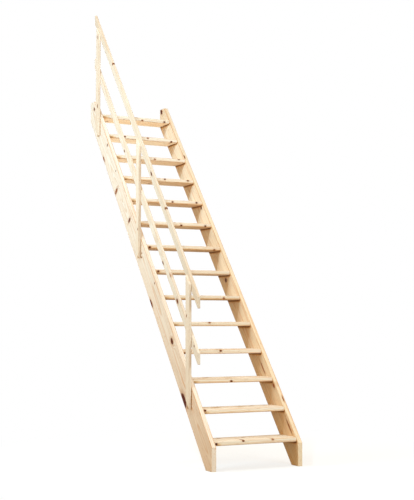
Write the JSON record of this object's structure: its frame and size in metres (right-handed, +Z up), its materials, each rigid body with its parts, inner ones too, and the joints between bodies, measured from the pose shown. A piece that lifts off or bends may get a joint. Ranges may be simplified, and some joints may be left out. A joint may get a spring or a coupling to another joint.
{
  "type": "space-saving staircase",
  "caption": "Straight, steep space-saving staircase: open wooden treads housed between two plank stringers, with a handrail and knee rail on flat posts at one side.",
  "frame": {"origin": "middle of the top tread's back face, where the flight meets the landing's edge", "axes": "+Z up, +Y the way the flight climbs and out of the back face into the landing, +X to the right of someone going up; the handrail is on the -X side"},
  "size_m": [0.722, 2.4121, 3.6935],
  "materials": {
    "stringer_pine": "satin",
    "tread_pine": "satin",
    "rail_pine": "satin"
  },
  "bodies": {
    "root": {"stringer_left": "stringer_pine", "stringer_right": "stringer_pine", "tread_01": "tread_pine", "tread_02": "tread_pine", "tread_03": "tread_pine", "tread_04": "tread_pine", "tread_05": "tread_pine", "tread_06": "tread_pine", "tread_07": "tread_pine", "tread_08": "tread_pine", "tread_09": "tread_pine", "tread_10": "tread_pine", "tread_11": "tread_pine", "tread_12": "tread_pine", "tread_13": "tread_pine", "tread_14": "tread_pine", "post_lower": "rail_pine", "post_middle": "rail_pine", "post_upper": "rail_pine", "handrail": "rail_pine", "knee_rail": "rail_pine"}
  },
  "joints": []
}
